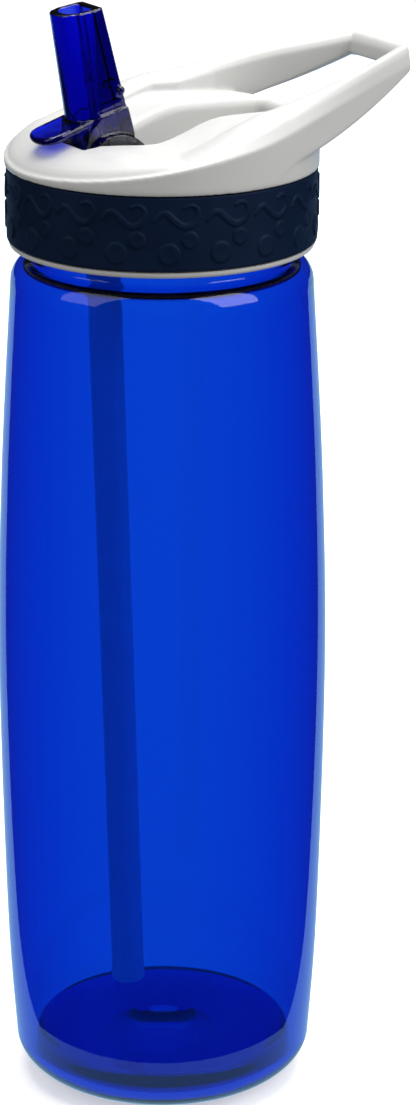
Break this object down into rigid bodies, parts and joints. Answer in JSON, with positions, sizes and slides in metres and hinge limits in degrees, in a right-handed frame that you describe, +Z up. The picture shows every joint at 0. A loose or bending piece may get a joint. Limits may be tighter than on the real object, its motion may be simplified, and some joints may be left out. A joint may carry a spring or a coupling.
{
  "type": "sports bottle",
  "caption": "Clear rigid drinking bottle with a screw lid, a straw whose spout flips up or folds into a slot, a ribbon-textured grip band and a carry loop.",
  "frame": {"origin": "on the table under the middle of the object's box; the bottle's own axis is 9.82 mm to -X of it, because the carry loop reaches out to +X", "axes": "+Z up the bottle, +X towards the carry loop, the spout at -X, +Y to the side"},
  "size_m": [0.093, 0.0734, 0.2477],
  "materials": {
    "clear_blue": "clear tinted copolyester, polished",
    "spout_blue": "clear tinted plastic, polished",
    "straw_milky": "milky, extruded",
    "lid_white": "fine satin moulding",
    "band_navy": "matte, raised pattern",
    "silicone": "soft matte"
  },
  "bodies": {
    "bottle": {"bottle_body": "clear_blue"},
    "gasket": {"cap_gasket": "silicone"},
    "lid": {"threaded_liner": "lid_white", "grip_band": "band_navy", "lid_cover": "lid_white", "spout_seal": "silicone", "vent_valve": "silicone", "straw": "straw_milky"},
    "spout": {"flip_spout": "spout_blue"}
  },
  "joints": [
    {"name": "cap_lift", "type": "slide", "parent": "bottle", "child": "gasket", "axis": [0, 0, 1], "range_m": [0, 0.0053]},
    {"name": "cap_turn", "type": "hinge", "parent": "gasket", "child": "lid", "pos_m": [-0.00982, 0, 0.2], "axis": [0, 0, 1], "range_deg": [0, 450]},
    {"name": "spout_flip", "type": "hinge", "parent": "lid", "child": "spout", "pos_m": [-0.02432, 0, 0.2125], "axis": [0, 1, 0], "range_deg": [0, 90]}
  ],
  "couplings": [
    {"joint": "cap_lift", "follows": "cap_turn", "m_per_rad": 0.00066845}
  ]
}
